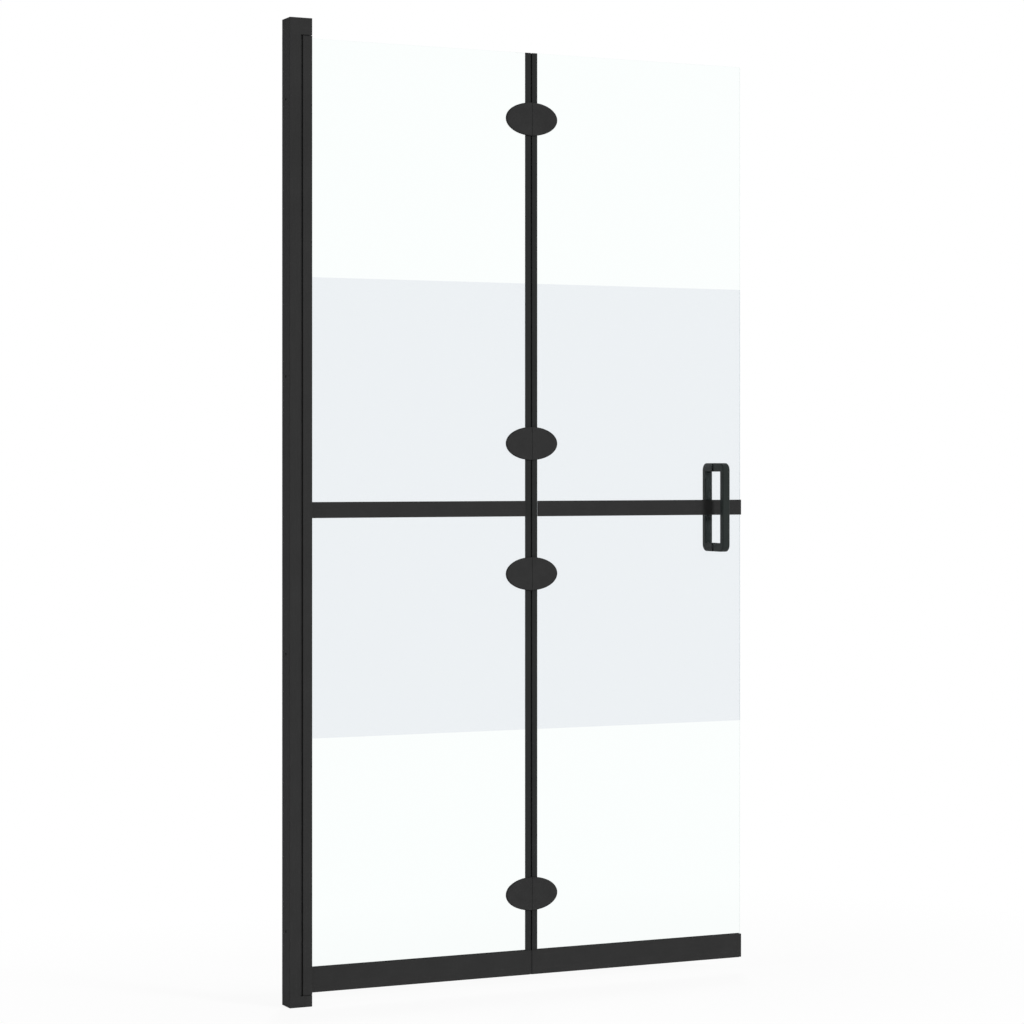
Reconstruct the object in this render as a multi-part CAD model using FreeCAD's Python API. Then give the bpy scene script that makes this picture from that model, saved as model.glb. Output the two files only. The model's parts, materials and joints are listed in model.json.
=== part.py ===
"""Folding shower screen: a wall post, a pane that swings on it and a pane that folds behind the first.

Millimetres, +Z up. The origin is where the swing axis meets the floor, under the post's foot.
+X runs along the closed screen away from the wall, and +Y points to the back, the shower side.
"""
import FreeCAD
import Part
import math
import os

# Whole screen
screen_width = 1000.0
screen_height = 1900.0
fold_from_wall = 520.6
swing_from_wall = 35.4
glass_thickness = 5.0
glass_arris = 0.5
overrun = 4.0
tolerance = 0.001

# Fixed half of the post
post_width = 46.4
post_depth = 42.0
post_wall = 2.0
profile_edge = 0.8
turn_clearance = 0.5
tip_margin = 2.0
seam_width = 5.0
seam_depth = 3.0
port_radius = 3.4
port_sink = 1.0
port_bore_radius = 1.7

# Channel on the wall
channel_web = 2.0
channel_flange = 1.8
channel_reach = 8.0
slide_clearance = 0.2
wall_hole_radius = 2.75
wall_hole_count = 4
wall_hole_end_distance = 122.95

# Screws that lock the post profile to the wall channel
lock_screw_count = 4
lock_screw_end_distance = 200.0
lock_screw_from_wall = 5.0
lock_screw_radius = 1.8
lock_screw_length = 7.0
lock_head_radius = 3.6
lock_head_height = 2.2
lock_socket_width = 2.0
lock_socket_depth = 1.3
screw_clearance = 0.05

# Bearing blocks at the ends of the post
bottom_block_height = 21.5
top_block_height = 32.6
block_edge = 1.0
spigot_depth = 8.0
spigot_clearance = 0.5
spigot_half_width = 13.0
block_screw_radius = 1.65
block_screw_bite = 14.0
block_head_radius = 3.4
block_head_height = 2.6
block_head_clearance = 0.3
block_socket_width = 2.5
block_socket_depth = 1.6

# Pivots
pivot_pin_radius = 3.0
pivot_pin_in_plug = 24.0
pivot_pin_in_block = 11.0
bush_radius = 5.0
bush_length = 12.0
bush_flange_radius = 8.0
bush_flange = 1.0
running_clearance = 0.05
seat_clearance = 0.02
rise_clearance = 0.2

# Turning half of the post
pivot_wall = 2.0
pivot_rib = 1.6
glass_bite = 12.0
gasket_thickness = 2.0
gasket_lip = 1.0
plug_plate = 2.0
plug_length = 30.0
plug_clearance = 0.1
notch_clearance = 1.0

# Bottom rail under each pane
rail_height = 47.8
rail_wall = 2.0
rail_gasket = 1.9
rail_gasket_base = 1.5
rail_pocket_depth = 23.8
rail_web = 2.5
rail_floor = 7.0
rail_edge = 0.9
rail_gap = 0.8
rail_to_post = 0.6
rail_cap = 1.5
rail_cap_tongue = 8.0
seal_head_width = 6.4
seal_head_height = 2.6
seal_neck_width = 2.6
seal_lip = 1.5
seal_clearance = 0.1

# Strips on the glass edges at the fold
strip_width = 11.7
strip_back_width = 7.1
strip_wall = 2.0
strip_edge = 0.6
fold_gap = 3.0
fold_seal_width = 5.0
fold_seal_height = 2.3

# Flat bar across each pane
bar_height = 31.0
bar_thickness = 3.0
bar_edge = 0.6
bar_gap = 0.6
bar_drop = 2.9
tape_thickness = 0.8
tape_inset = 2.5

# Hinges at the fold
hinge_length = 112.3
hinge_height = 66.1
leaf_length = 100.0
leaf_height = 59.0
hinge_from_bar = 130.0
hinge_from_top = 132.3
hinge_from_bottom = 135.3
hinge_pad = 1.0
hinge_pad_inset = 1.5
front_plate_thickness = 5.5
back_leaf_thickness = 6.5
hinge_edge = 2.2
leaf_gap = 0.6
strip_clearance = 0.3
fold_axis_depth = 12.0
knuckle_radius = 6.0
knuckle_clearance = 0.6
middle_knuckle_height = 20.0
end_knuckle_height = 11.0
knuckle_gap = 0.4
hinge_pin_radius = 3.0
hinge_pin_head_radius = 4.4
hinge_pin_head = 1.2
hinge_bush_radius = 4.0
hinge_screw_radius = 2.5
hinge_screw_from_fold = 34.0
hinge_screw_offset = 13.0
hinge_screw_bite = 4.0
hinge_head_radius = 4.6
hinge_head_height = 2.3
hinge_socket_width = 3.0
hinge_socket_depth = 1.8
hole_clearance = 0.1
sleeve_wall = 2.2

# Handles near the free edge
handle_from_edge = 55.6
handle_length = 182.0
handle_reach = 41.5
handle_width = 16.5
handle_leg = 17.5
handle_grip = 14.0
handle_corner = 15.0
handle_edge = 2.5
handle_washer = 1.0
handle_washer_radius = 7.2
handle_stud_radius = 3.0
handle_stud_bite = 12.0

# Places worked out from the sizes above
wall_x = -swing_from_wall
pivot_face_x = post_width - swing_from_wall
fold_x = fold_from_wall - swing_from_wall
free_x = screen_width - swing_from_wall
half_depth = post_depth / 2
half_glass = glass_thickness / 2
turn_radius = math.hypot(pivot_face_x, half_depth)
scoop_radius = turn_radius + turn_clearance
post_tip_x = -(pivot_face_x + tip_margin)
seam_x = post_tip_x + seam_width
post_bottom_z = bottom_block_height
post_top_z = screen_height - top_block_height
pivot_bottom_z = post_bottom_z + bush_flange + plug_plate
pivot_top_z = post_top_z - bush_flange - rise_clearance - plug_plate
rail_bottom_z = pivot_bottom_z
rail_top_z = rail_bottom_z + rail_height
pocket_floor_z = rail_top_z - rail_pocket_depth
glass_bottom_z = pocket_floor_z + rail_gasket_base
glass_top_z = pivot_top_z
bar_z = (glass_bottom_z + glass_top_z) / 2 - bar_drop
glass_inner_x = pivot_face_x - glass_bite
pocket_floor_x = glass_inner_x - gasket_thickness
pocket_half = half_glass + gasket_thickness
rail_pocket_half = half_glass + rail_gasket
rail_half = rail_pocket_half + rail_wall
strip_half = half_glass + strip_wall
strip_reach = fold_gap / 2 + strip_width
glass_fold_reach = fold_gap / 2 + strip_wall
rebate_reach = strip_reach + strip_clearance
hinge_levels = [
    glass_top_z - hinge_from_top,
    bar_z + hinge_from_bar,
    bar_z - hinge_from_bar,
    glass_bottom_z + hinge_from_bottom,
]
handle_x = free_x - handle_from_edge
handle_hole_z = handle_length / 2 - handle_leg / 2
inner_side = -1
outer_side = 1


def vec(x, y, z=0.0):
    return FreeCAD.Vector(x, y, z)


up = vec(0, 0, 1)
along = vec(1, 0, 0)
back = vec(0, 1, 0)


def block(xs, ys, zs):
    """Box between three pairs of planes, each pair in either order."""
    pairs = [sorted(pair) for pair in (xs, ys, zs)]
    lengths = [high - low for low, high in pairs]
    return Part.makeBox(*lengths, vec(*[low for low, high in pairs]))


def rod(radius, start, end):
    """Round bar from one point to another."""
    run = end - start
    return Part.makeCylinder(radius, run.Length, start, run)


def tube(outer_radius, inner_radius, start, end):
    return rod(outer_radius, start, end).cut(rod(inner_radius, start, end))


def edges_along(shape, direction):
    """Straight edges of a shape that run along a direction."""
    return [
        edge
        for edge in shape.Edges
        if isinstance(edge.Curve, Part.Line)
        and edge.tangentAt(edge.FirstParameter).cross(direction).Length < tolerance
    ]


def edges_at(shape, direction, axis, place):
    """Straight edges along a direction whose middles lie at a place on an axis."""
    return [
        edge
        for edge in edges_along(shape, direction)
        if abs(getattr(edge.CenterOfMass, axis) - place) < tolerance
    ]


def soften(shape, radius, direction):
    """Shape with its edges along a direction rounded."""
    return shape.makeFillet(radius, edges_along(shape, direction))


def one_solid(shape):
    """The single solid of a finished shape, with its split faces joined."""
    solids = shape.removeSplitter().Solids
    if len(solids) != 1:
        raise ValueError(f"expected one solid, found {len(solids)}")
    return solids[0]


def group(shapes):
    return Part.makeCompound([one_solid(shape) for shape in shapes])


def hex_socket(width, seat, direction, depth):
    """Six-sided cutter for a key, from a screw's crown against the direction that the crown faces."""
    radius = width / math.sqrt(3)
    turns = [math.radians(60 * side) for side in range(7)]
    corners = [vec(radius * math.cos(turn), radius * math.sin(turn)) for turn in turns]
    socket = Part.Face(Part.makePolygon(corners)).extrude(vec(0, 0, -depth))
    socket.Placement = FreeCAD.Placement(seat, FreeCAD.Rotation(up, direction))
    return socket


def post_levels(end_distance, count):
    """Heights spread evenly along the post profile, the first and last at a distance from its ends."""
    first = post_bottom_z + end_distance
    last = post_top_z - end_distance
    step = (last - first) / (count - 1)
    return [first + step * index for index in range(count)]


def lock_screw_levels():
    return post_levels(lock_screw_end_distance, lock_screw_count)


def lock_holes():
    """Round cutters for the locking screws, through the back flanges."""
    x = wall_x + lock_screw_from_wall
    radius = lock_screw_radius + screw_clearance
    inside = half_depth - lock_screw_length - overrun
    return [rod(radius, vec(x, inside, z), vec(x, half_depth + overrun, z)) for z in lock_screw_levels()]


def wall_channel():
    """U section with its web on the wall and its flanges inside the post profile."""
    outer = half_depth - post_wall - slide_clearance
    inner = outer - channel_flange
    tip_x = wall_x + channel_reach
    levels = (post_bottom_z, post_top_z)
    shape = block((wall_x, tip_x), (-outer, outer), levels)
    shape = shape.cut(block((wall_x + channel_web, tip_x + overrun), (-inner, inner), levels))
    for z in post_levels(wall_hole_end_distance, wall_hole_count):
        start = vec(wall_x - overrun, 0, z)
        shape = shape.cut(rod(wall_hole_radius, start, vec(wall_x + channel_web + overrun, 0, z)))
    for hole in lock_holes():
        shape = shape.cut(hole)
    return one_solid(shape)


def port_places():
    """Centres of the two screw ports, tucked between a flange and the scoop wall."""
    y = half_depth - post_wall - port_radius + port_sink
    reach = scoop_radius + post_wall + port_radius - port_sink
    x = -math.sqrt(reach**2 - y**2)
    return [(x, -y), (x, y)]


def post_profile():
    """Extrusion open to the wall, with a scooped face that the turning profile nests in."""
    levels = (post_bottom_z, post_top_z)
    low, high = vec(0, 0, post_bottom_z), vec(0, 0, post_top_z)
    blank = block((wall_x, post_tip_x), (-half_depth, half_depth), levels)
    blank = blank.makeFillet(profile_edge, edges_at(blank, up, "x", wall_x))
    blank = blank.cut(rod(scoop_radius, low, high))
    inner = half_depth - post_wall
    hollow = block((wall_x - overrun, post_tip_x + overrun), (-inner, inner), levels)
    hollow = hollow.cut(rod(scoop_radius + post_wall, low, high))
    shape = blank.cut(hollow)
    for x, y in port_places():
        port = rod(port_radius, low + vec(x, y), high + vec(x, y))
        shape = shape.fuse(port.common(blank))
    for x, y in port_places():
        shape = shape.cut(rod(port_bore_radius, low + vec(x, y), high + vec(x, y)))
    for hole in lock_holes():
        shape = shape.cut(hole)
    return one_solid(shape)


def lock_screws():
    """Pan-head screws through the back flange of the post profile."""
    x = wall_x + lock_screw_from_wall
    screws = []
    for z in lock_screw_levels():
        seat = vec(x, half_depth, z)
        shank = rod(lock_screw_radius, seat - back * lock_screw_length, seat)
        head = rod(lock_head_radius, seat, seat + back * lock_head_height)
        rim = max(head.Edges, key=lambda edge: edge.CenterOfMass.y)
        head = head.makeFillet(lock_head_height / 2, [rim])
        crown = seat + back * lock_head_height
        socket = hex_socket(lock_socket_width, crown, back, lock_socket_depth)
        screws.append(shank.fuse(head).cut(socket))
    return group(screws)


def block_blank(outer_z, inner_z):
    """Block over the whole plan of the post, its upright edges and its outer rim rounded."""
    shape = block((wall_x, pivot_face_x), (-half_depth, half_depth), (outer_z, inner_z))
    rim = edges_at(shape, along, "z", outer_z) + edges_at(shape, back, "z", outer_z)
    return shape.makeFillet(block_edge, edges_along(shape, up) + rim)


def bearing_block(outer_z, inner_z):
    """Bearing block with a spigot in the post, a seat for the bush and two screw holes."""
    way = math.copysign(1, outer_z - inner_z)
    shape = block_blank(outer_z, inner_z)
    spigot_start = wall_x + channel_web + spigot_clearance
    spigot_end = -(scoop_radius + post_wall + spigot_clearance)
    spigot = block(
        (spigot_start, spigot_end),
        (-spigot_half_width, spigot_half_width),
        (inner_z, inner_z - way * spigot_depth),
    )
    shape = shape.fuse(spigot)
    seat = vec(0, 0, inner_z)
    shape = shape.cut(rod(bush_radius + seat_clearance, seat, seat + up * way * bush_length))
    for x, y in port_places():
        outer = vec(x, y, outer_z)
        hole = rod(block_screw_radius + hole_clearance, vec(x, y, inner_z), outer)
        recess_depth = block_head_height + block_head_clearance
        recess = rod(block_head_radius + block_head_clearance, outer, outer - up * way * recess_depth)
        shape = shape.cut(hole).cut(recess)
    return one_solid(shape)


def block_screws():
    """Long screws through the two blocks into the ports of the post profile."""
    screws = []
    ends = [(screen_height, post_top_z, 1), (0, post_bottom_z, -1)]
    for outer_z, inner_z, way in ends:
        head_outer = outer_z - way * block_head_clearance
        head_inner = head_outer - way * block_head_height
        for x, y in port_places():
            head = rod(block_head_radius, vec(x, y, head_inner), vec(x, y, head_outer))
            tip = vec(x, y, inner_z - way * block_screw_bite)
            shank = rod(block_screw_radius, vec(x, y, head_inner), tip)
            crown = vec(x, y, head_outer)
            socket = hex_socket(block_socket_width, crown, up * way, block_socket_depth)
            screws.append(head.fuse(shank).cut(socket))
    return group(screws)


def pivot_bush(inner_z, way):
    """Flanged plain bush: its body sits in a block and its flange faces the turning profile."""
    seat = vec(0, 0, inner_z)
    body = rod(bush_radius, seat, seat + up * way * bush_length)
    flange = rod(bush_flange_radius, seat, seat - up * way * bush_flange)
    bore = rod(
        pivot_pin_radius + running_clearance,
        seat - up * way * overrun,
        seat + up * way * (bush_length + overrun),
    )
    return one_solid(body.fuse(flange).cut(bore))


def pivot_pin(plug_z, way):
    """Steel pin from an end plug into the bush, its outer end chamfered."""
    inner = vec(0, 0, plug_z - way * pivot_pin_in_plug)
    block_z = plug_z + way * (plug_plate + bush_flange)
    outer = vec(0, 0, block_z + way * pivot_pin_in_block)
    pin = rod(pivot_pin_radius, inner, outer)
    rim = max(pin.Edges, key=lambda edge: way * edge.CenterOfMass.z)
    return one_solid(pin.makeChamfer(pivot_pin_radius / 4, [rim]))


def turning_outline(right, half_width, radius):
    """Outline with flat flanks, a flat right side and a round left side about the swing axis."""
    left = -math.sqrt(radius**2 - half_width**2)
    front_left, front_right = vec(left, -half_width), vec(right, -half_width)
    back_right, back_left = vec(right, half_width), vec(left, half_width)
    edges = [
        Part.LineSegment(front_left, front_right).toShape(),
        Part.LineSegment(front_right, back_right).toShape(),
        Part.LineSegment(back_right, back_left).toShape(),
        Part.Arc(back_left, vec(-radius, 0), front_left).toShape(),
    ]
    return Part.Face(Part.Wire(edges))


def prism(face, z0, z1):
    return face.translated(vec(0, 0, z0)).extrude(vec(0, 0, z1 - z0))


def cut_seams(shape, wall, levels):
    """Shape less the two shadow grooves beside the post profile's tips, each with a wall round it."""
    sides = (-turn_radius, seam_x + wall)
    depth = seam_depth + wall
    for way in (-1, 1):
        groove = block(sides, (way * (half_depth - depth), way * (half_depth + overrun)), levels)
        shape = shape.cut(groove)
    return shape


def turning_prism(z0, z1):
    """Outer form of the turning half, its pane-side corners rounded and its seams grooved."""
    shape = prism(turning_outline(pivot_face_x, half_depth, turn_radius), z0, z1)
    shape = shape.makeFillet(profile_edge, edges_at(shape, up, "x", pivot_face_x))
    return cut_seams(shape, 0, (z0, z1))


def pivot_profile():
    """Hollow extrusion that turns in the scoop, with a ribbed pocket for the glass edge."""
    levels = (pivot_bottom_z, pivot_top_z)
    shape = turning_prism(*levels)
    hollow = turning_outline(pivot_face_x - pivot_wall, half_depth - pivot_wall, turn_radius - pivot_wall)
    shape = shape.cut(cut_seams(prism(hollow, *levels), pivot_wall, levels))
    rib_half = pocket_half + pivot_rib
    ribs = block((pocket_floor_x - pivot_rib, pivot_face_x), (-rib_half, rib_half), levels)
    pocket = block((pocket_floor_x, pivot_face_x + overrun), (-pocket_half, pocket_half), levels)
    return one_solid(shape.fuse(ribs).cut(pocket))


def end_plug(plug_z, way):
    """Plate over the end of the pivot profile with a tongue in the glass pocket, bored for the pin."""
    plate = turning_prism(plug_z, plug_z + way * plug_plate)
    tongue_half = pocket_half - plug_clearance
    tongue = block(
        (pocket_floor_x + plug_clearance, pivot_face_x - plug_clearance),
        (-tongue_half, tongue_half),
        (plug_z, plug_z - way * plug_length),
    )
    inner = vec(0, 0, plug_z - way * pivot_pin_in_plug)
    outer = vec(0, 0, plug_z + way * (plug_plate + overrun))
    return one_solid(plate.fuse(tongue).cut(rod(pivot_pin_radius + seat_clearance, inner, outer)))


def glazing_gasket():
    """U-shaped gasket round the glass edge, between the two end plugs."""
    levels = (pivot_bottom_z + plug_length + plug_clearance, pivot_top_z - plug_length - plug_clearance)
    lip_x = pivot_face_x + gasket_lip
    shape = block((pocket_floor_x, lip_x), (-pocket_half, pocket_half), levels)
    shape = shape.makeFillet(gasket_lip, edges_at(shape, up, "x", lip_x))
    shape = shape.cut(block((glass_inner_x, lip_x + overrun), (-half_glass, half_glass), levels))
    return one_solid(shape)


def hinge_screw_places(side):
    """Screw centres of one pane's hinges, as points in the plane of the glass."""
    x = fold_x + side * hinge_screw_from_fold
    return [(x, z + sign * hinge_screw_offset) for z in hinge_levels for sign in (-1, 1)]


def hole_radius():
    """Radius of the holes in the glass, round a screw and its sleeve."""
    return hinge_screw_radius + hole_clearance + sleeve_wall + hole_clearance


def pierce(pane, places, radius):
    for x, z in places:
        pane = pane.cut(rod(radius, vec(x, -half_glass - overrun, z), vec(x, half_glass + overrun, z)))
    return pane


def pane_blank(start, end):
    """Pane between two places along the screen, with its edges ground to a narrow arris."""
    pane = block((start, end), (-half_glass, half_glass), (glass_bottom_z, glass_top_z))
    return pane.makeChamfer(glass_arris, edges_along(pane, up) + edges_along(pane, along))


def inner_glass():
    """Pane with its inner corners notched to clear the end plugs of the pivot profile."""
    pane = pane_blank(glass_inner_x, fold_x - glass_fold_reach)
    notch_x = pivot_face_x + notch_clearance
    deep = plug_length + notch_clearance
    cut_depths = (-half_glass - overrun, half_glass + overrun)
    top = block((glass_inner_x - overrun, notch_x), cut_depths, (glass_top_z - deep, glass_top_z + overrun))
    bottom_start = glass_bottom_z - overrun
    bottom = block((glass_inner_x - overrun, notch_x), cut_depths, (bottom_start, pivot_bottom_z + deep))
    pane = pane.cut(top).cut(bottom)
    return one_solid(pierce(pane, hinge_screw_places(inner_side), hole_radius()))


def handle_places():
    return [(handle_x, bar_z - handle_hole_z), (handle_x, bar_z + handle_hole_z)]


def handle_glass_radius():
    return handle_stud_radius + hole_clearance + sleeve_wall + hole_clearance


def outer_glass():
    pane = pane_blank(fold_x + glass_fold_reach, free_x)
    pane = pierce(pane, hinge_screw_places(outer_side), hole_radius())
    return one_solid(pierce(pane, handle_places(), handle_glass_radius()))


def fold_strip(side):
    """J section over the glass edge at the fold, its back leg the shorter, from the rail to the glass top."""
    levels = (rail_top_z, glass_top_z)
    near = fold_x + side * fold_gap / 2
    far = fold_x + side * strip_reach
    back_far = near + side * strip_back_width
    shape = soften(block((near, far), (-strip_half, strip_half), levels), strip_edge, up)
    slot = block((near + side * strip_wall, far + side * overrun), (-half_glass, half_glass), levels)
    step = block((back_far, far + side * overrun), (0, strip_half + overrun), levels)
    return one_solid(shape.cut(slot).cut(step))


def fold_seal():
    """Soft half-round lip on the inner strip, in the gap between the panes."""
    start = vec(fold_x - fold_gap / 2, -fold_seal_width / 2, rail_top_z)
    crown = start + vec(fold_seal_height, fold_seal_width / 2)
    end = start + vec(0, fold_seal_width)
    edges = [Part.Arc(start, crown, end).toShape(), Part.LineSegment(end, start).toShape()]
    return one_solid(Part.Face(Part.Wire(edges)).extrude(up * (glass_top_z - rail_top_z)))


def bar_span(side):
    """Ends of the flat bar on one pane, from its outer end to its end at the fold."""
    fold_end = fold_x + side * (strip_reach + bar_gap)
    if side == inner_side:
        return pivot_face_x + gasket_lip + bar_gap, fold_end
    return free_x, fold_end


def pane_bar(side):
    """Flat bar on the front of a pane, with its front edges rounded."""
    inner_y = -half_glass - tape_thickness
    outer_y = inner_y - bar_thickness
    levels = (bar_z - bar_height / 2, bar_z + bar_height / 2)
    shape = block(bar_span(side), (inner_y, outer_y), levels)
    return one_solid(shape.makeFillet(bar_edge, edges_at(shape, along, "y", outer_y)))


def bar_tape(side):
    """Mounting tape between a bar and the glass, set in from the bar's edges."""
    start, end = sorted(bar_span(side))
    half_height = bar_height / 2 - tape_inset
    return one_solid(
        block(
            (start + tape_inset, end - tape_inset),
            (-half_glass, -half_glass - tape_thickness),
            (bar_z - half_height, bar_z + half_height),
        )
    )


def rail_span(side):
    """Ends of one pane's rail with its caps, in order along the screen."""
    if side == inner_side:
        return pivot_face_x + gasket_lip + rail_to_post, fold_x - rail_gap / 2
    return fold_x + rail_gap / 2, free_x


def rail_section_cuts(start, end):
    """Cutters for the glass pocket, the hollow chamber and the slot of the drip seal."""
    pocket = block(
        (start, end), (-rail_pocket_half, rail_pocket_half), (pocket_floor_z, rail_top_z + overrun)
    )
    chamber = rail_chamber(start, end, 0)
    head_half = seal_head_width / 2 + seal_clearance
    neck_half = seal_neck_width / 2 + seal_clearance
    head_bottom = rail_bottom_z + rail_wall
    head_top = head_bottom + seal_head_height + seal_clearance
    head = block((start, end), (-head_half, head_half), (head_bottom, head_top))
    neck = block((start, end), (-neck_half, neck_half), (rail_bottom_z - overrun, head_bottom))
    return [pocket, chamber, head, neck]


def rail_chamber(start, end, clearance):
    half = rail_pocket_half - clearance
    levels = (rail_bottom_z + rail_floor + clearance, pocket_floor_z - rail_web - clearance)
    return block((start, end), (-half, half), levels)


def bottom_rail(side):
    """Rail extrusion: glass pocket on top, hollow chamber, seal slot underneath."""
    start, end = rail_span(side)
    start, end = start + rail_cap, end - rail_cap
    shape = block((start, end), (-rail_half, rail_half), (rail_bottom_z, rail_top_z))
    shape = soften(shape, rail_edge, along)
    for cutter in rail_section_cuts(start, end):
        shape = shape.cut(cutter)
    return one_solid(shape)


def rail_gasket_strip(side):
    """U-shaped gasket between the glass and the rail pocket."""
    start, end = rail_span(side)
    start, end = start + rail_cap, end - rail_cap
    shape = block((start, end), (-rail_pocket_half, rail_pocket_half), (pocket_floor_z, rail_top_z))
    slot = block((start, end), (-half_glass, half_glass), (glass_bottom_z, rail_top_z + overrun))
    return one_solid(shape.cut(slot))


def rail_seal(side):
    """Drip seal: a head in the rail slot, a neck and a short lip under the rail."""
    start, end = rail_span(side)
    start, end = start + rail_cap, end - rail_cap
    head_bottom = rail_bottom_z + rail_wall
    head_half, neck_half = seal_head_width / 2, seal_neck_width / 2
    head = block((start, end), (-head_half, head_half), (head_bottom, head_bottom + seal_head_height))
    neck = block((start, end), (-neck_half, neck_half), (rail_bottom_z - seal_lip, head_bottom))
    return one_solid(head.fuse(neck))


def rail_caps(side):
    """Moulded caps on both ends of a rail, slotted for the glass, each with a tongue in the chamber."""
    start, end = rail_span(side)
    caps = []
    for face_x, way in ((start, 1), (end, -1)):
        inner_x = face_x + way * rail_cap
        plate = block((face_x, inner_x), (-rail_half, rail_half), (rail_bottom_z, rail_top_z))
        plate = soften(plate, rail_edge, along)
        slot_half = half_glass + plug_clearance
        slot = block(
            (face_x - overrun, face_x + overrun),
            (-slot_half, slot_half),
            (glass_bottom_z - plug_clearance, rail_top_z + overrun),
        )
        tongue = rail_chamber(inner_x, inner_x + way * rail_cap_tongue, plug_clearance)
        caps.append(plate.cut(slot).fuse(tongue))
    return group(caps)


def oval_plate(near, far, front, length, height, edge):
    """Elliptical plate between two depths from the glass plane, its outer rim rounded."""
    thickness = far - near
    outline = Part.Wire(Part.Ellipse(vec(0, 0), length / 2, height / 2).toShape())
    plate = Part.Face(outline).extrude(vec(0, 0, thickness))
    if edge:
        rim = max(plate.Edges, key=lambda each: each.CenterOfMass.z)
        plate = plate.makeFillet(edge, [rim])
    plate.translate(vec(0, 0, near))
    plate.rotate(vec(0, 0), along, 90 if front else -90)
    return plate


def side_half(side, reach, inner):
    """Cutter that keeps one side of the fold line, from a distance to the end of the hinge."""
    wide = hinge_length + overrun
    return block((side * inner, side * reach), (-wide, wide), (-wide, wide))


def strip_rebate(side, near, front):
    """Cutter for the shallow rebate under a plate where it passes over the fold strip."""
    facing = -1 if front else 1
    deep = strip_half + strip_clearance
    depths = (facing * (near - overrun), facing * deep)
    return block((0, side * rebate_reach), depths, (-hinge_height, hinge_height))


def place_hinges(shape_at_origin):
    """Copies of a hinge piece at the four hinge levels on the fold line."""
    return [shape_at_origin.translated(vec(fold_x, 0, z)) for z in hinge_levels]


def screw_axes(side):
    """Screw centres of one leaf, measured from the hinge's middle."""
    return [(side * hinge_screw_from_fold, sign * hinge_screw_offset) for sign in (-1, 1)]


def front_plate(side):
    """Front half oval of a hinge, with blind screw holes on its glass side."""
    near = half_glass + hinge_pad
    shape = oval_plate(near, near + front_plate_thickness, True, hinge_length, hinge_height, hinge_edge)
    shape = shape.common(side_half(side, hinge_length, leaf_gap / 2))
    shape = shape.cut(strip_rebate(side, near, True))
    for x, z in screw_axes(side):
        tip = vec(x, -near - hinge_screw_bite, z)
        shape = shape.cut(rod(hinge_screw_radius + seat_clearance, vec(x, 0, z), tip))
    return one_solid(shape)


def knuckle_spans(side):
    """Height ranges of one leaf's knuckles: one in the middle, or one at each end."""
    half = middle_knuckle_height / 2
    if side == inner_side:
        return [(-half, half)]
    near = half + knuckle_gap
    far = near + end_knuckle_height
    return [(-far, -near), (near, far)]


def pin_reach():
    """Half length of a hinge pin between its heads."""
    return middle_knuckle_height / 2 + knuckle_gap + end_knuckle_height + running_clearance


def pin_head_spans():
    """Height ranges of the two heads of a hinge pin."""
    near = pin_reach()
    far = near + hinge_pin_head
    return [(-far, -near), (near, far)]


def back_leaf(side):
    """Back half oval with knuckles on the fold axis and countersunk screw holes."""
    near = half_glass + hinge_pad
    far = near + back_leaf_thickness
    shape = oval_plate(near, far, False, leaf_length, leaf_height, hinge_edge)
    shape = shape.common(side_half(side, hinge_length, leaf_gap / 2))
    shape = shape.cut(strip_rebate(side, near, False))
    clear_x = side * (knuckle_radius + knuckle_clearance)
    for low, high in knuckle_spans(-side) + pin_head_spans():
        levels = (low - knuckle_gap, high + knuckle_gap)
        shape = shape.cut(block((0, clear_x), (0, far + overrun), levels))
    bore_radius = hinge_pin_radius if side == inner_side else hinge_bush_radius
    for low, high in knuckle_spans(side):
        axis_low, axis_high = vec(0, fold_axis_depth, low), vec(0, fold_axis_depth, high)
        shape = shape.fuse(rod(knuckle_radius, axis_low, axis_high))
        shape = shape.cut(rod(bore_radius + seat_clearance, axis_low, axis_high))
    for x, z in screw_axes(side):
        hole = rod(hinge_screw_radius + hole_clearance, vec(x, 0, z), vec(x, far + overrun, z))
        shape = shape.cut(hole).cut(countersunk_head(vec(x, far, z), hole_clearance))
    return one_solid(shape)


def countersunk_head(crown, clearance):
    """Cone from a screw's shank up to its flat crown."""
    base = crown - back * hinge_head_height
    return Part.makeCone(
        hinge_screw_radius + clearance, hinge_head_radius + clearance, hinge_head_height, base, back
    )


def hinge_screws(side):
    """Clamp screws that draw the back leaf and the front plate together through the glass."""
    near = half_glass + hinge_pad
    far = near + back_leaf_thickness
    screws = []
    for x, z in hinge_screw_places(side):
        crown = vec(x, far, z)
        tip = vec(x, -near - hinge_screw_bite, z)
        shank = rod(hinge_screw_radius, tip, crown - back * hinge_head_height)
        socket = hex_socket(hinge_socket_width, crown, back, hinge_socket_depth)
        screws.append(shank.fuse(countersunk_head(crown, 0)).cut(socket))
    return group(screws)


def hinge_sleeves(side):
    """Sleeves round the clamp screws in the holes of the glass."""
    inner = hinge_screw_radius + hole_clearance
    return group(
        [
            tube(inner + sleeve_wall, inner, vec(x, -half_glass, z), vec(x, half_glass, z))
            for x, z in hinge_screw_places(side)
        ]
    )


def hinge_pads(side):
    """Soft pads between the glass and the hinge plates, on both faces."""
    length, height = leaf_length - 2 * hinge_pad_inset, leaf_height - 2 * hinge_pad_inset
    pads = []
    for front in (True, False):
        pad = oval_plate(half_glass, half_glass + hinge_pad, front, length, height, 0)
        pad = pad.common(side_half(side, hinge_length, rebate_reach))
        for x, z in screw_axes(side):
            radius = hinge_screw_radius + hole_clearance
            pad = pad.cut(rod(radius, vec(x, -hinge_length, z), vec(x, hinge_length, z)))
        pads.extend(place_hinges(pad))
    return group(pads)


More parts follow.
